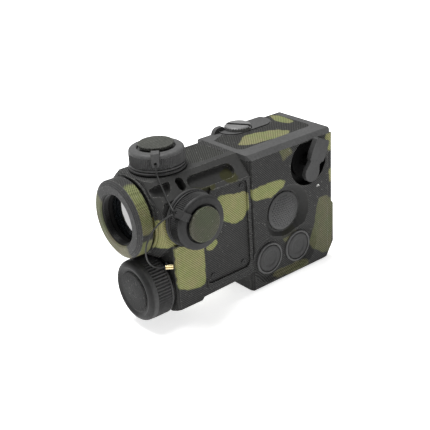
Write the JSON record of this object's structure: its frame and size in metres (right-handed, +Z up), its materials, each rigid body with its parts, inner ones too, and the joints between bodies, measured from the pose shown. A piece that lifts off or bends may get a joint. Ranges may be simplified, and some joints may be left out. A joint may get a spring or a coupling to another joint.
{
  "type": "laser rangefinder",
  "caption": "Compact tube sight joined to a box-shaped laser rangefinder housing, with capped turrets, battery cap, selector lever and push buttons.",
  "frame": {"origin": "centre of the four threaded holes in the underside, directly below the optical axis", "axes": "+Y forward along the optical axis, +Z up, +X to the side that carries the buttons"},
  "size_m": [0.0475, 0.1076, 0.0772],
  "materials": {
    "anodised_side": "dark grey hard-anodised aluminium with a fine woven texture and olive patches",
    "anodised_top": "dark grey hard-anodised aluminium, satin",
    "anodised_black": "black anodised aluminium, matt",
    "camo_skin": "woven-texture camouflage skin, olive on dark grey, matt",
    "textured_disc": "speckled woven-texture disc, matt",
    "lever_grey": "mid grey anodised aluminium, satin",
    "button_rubber": "dark grey moulded rubber, matt",
    "rubber_seal": "black rubber",
    "black_internal": "black anodised, matt",
    "black_steel": "black oxide steel",
    "bare_steel": "bright steel",
    "brass": "plated brass",
    "coated_wire": "coated steel wire",
    "coated_glass": "coated optical glass",
    "red_glass": "red-coated optical glass",
    "circuit_board": "green solder mask",
    "chip_plastic": "black moulded epoxy",
    "white_plastic": "off-white insulating tube",
    "battery_wrap": "plain blue shrink wrap"
  },
  "bodies": {
    "root": {"laser_housing": "anodised_side", "top_plate": "anodised_top", "top_skin": "camo_skin", "front_bezel": "anodised_side", "bezel_screws": "black_steel", "thread_inserts": "brass", "receiver_barrel": "black_internal", "receiver_lens": "coated_glass", "receiver_sensor": "bare_steel", "emitter_barrel": "brass", "emitter_window": "red_glass", "main_board": "circuit_board", "board_parts": "chip_plastic", "switch_board": "circuit_board", "tact_switches": "bare_steel", "adjuster_guard": "anodised_top", "rear_housing": "anodised_side", "sight_skin": "camo_skin", "side_cover": "camo_skin", "cover_screws": "black_steel", "optic_tube": "black_internal", "objective_lens": "red_glass", "objective_ring": "black_internal", "erector_tube": "black_internal", "collimator_lens": "coated_glass", "dot_emitter": "chip_plastic", "eyepiece_tube": "camo_skin", "eyepiece_bezel": "anodised_side", "eyepiece_ring": "black_internal", "eyepiece_lens": "coated_glass", "elevation_base": "anodised_top", "elevation_screw": "bare_steel", "elevation_tether_ring": "anodised_top", "windage_base": "anodised_top", "windage_screw": "bare_steel", "windage_tether_ring": "anodised_top", "battery_sleeve": "white_plastic", "battery_cell": "battery_wrap", "contact_board": "circuit_board", "contact_spring": "brass", "battery_gasket": "rubber_seal", "battery_tether_ring": "bare_steel", "tether_wire_upper": "coated_wire", "tether_wire_lower": "coated_wire", "tether_ferrules": "brass", "button_bezels": "anodised_top"},
    "elevation_turret": {"elevation_cap": "anodised_top", "elevation_disc": "textured_disc"},
    "windage_turret": {"windage_cap": "anodised_top", "windage_disc": "textured_disc"},
    "battery_door": {"battery_cap": "anodised_top", "battery_cap_disc": "anodised_top"},
    "selector": {"selector_rotor": "anodised_black", "selector_lever": "lever_grey", "selector_clip": "bare_steel"},
    "boresight_adjuster": {"boresight_knob": "anodised_top"},
    "fire_key": {"fire_button": "button_rubber"},
    "left_key": {"left_button": "button_rubber"},
    "right_key": {"right_button": "button_rubber"}
  },
  "joints": [
    {"name": "elevation_cap_turn", "type": "hinge", "parent": "root", "child": "elevation_turret", "pos_m": [0, -0.0578, 0.066], "axis": [0, 0, 1], "continuous": true},
    {"name": "windage_cap_turn", "type": "hinge", "parent": "root", "child": "windage_turret", "pos_m": [0.0192, -0.0578, 0.049], "axis": [1, 0, 0], "continuous": true},
    {"name": "battery_cap_turn", "type": "hinge", "parent": "root", "child": "battery_door", "pos_m": [0.0062, -0.07, 0.0172], "axis": [0, -1, 0], "continuous": true},
    {"name": "selector_turn", "type": "hinge", "parent": "root", "child": "selector", "pos_m": [0.017, 0.0122, 0.0536], "axis": [1, 0, 0], "range_deg": [-30, 90]},
    {"name": "boresight_turn", "type": "hinge", "parent": "root", "child": "boresight_adjuster", "pos_m": [-0.0104, -0.0044, 0.066], "axis": [0, 0, 1], "continuous": true},
    {"name": "fire_press", "type": "slide", "parent": "root", "child": "fire_key", "axis": [-1, 0, 0], "range_m": [0, 0.001], "stiffness_N_per_m": 1500},
    {"name": "left_press", "type": "slide", "parent": "root", "child": "left_key", "axis": [-1, 0, 0], "range_m": [0, 0.0007], "stiffness_N_per_m": 1500},
    {"name": "right_press", "type": "slide", "parent": "root", "child": "right_key", "axis": [-1, 0, 0], "range_m": [0, 0.0007], "stiffness_N_per_m": 1500}
  ]
}
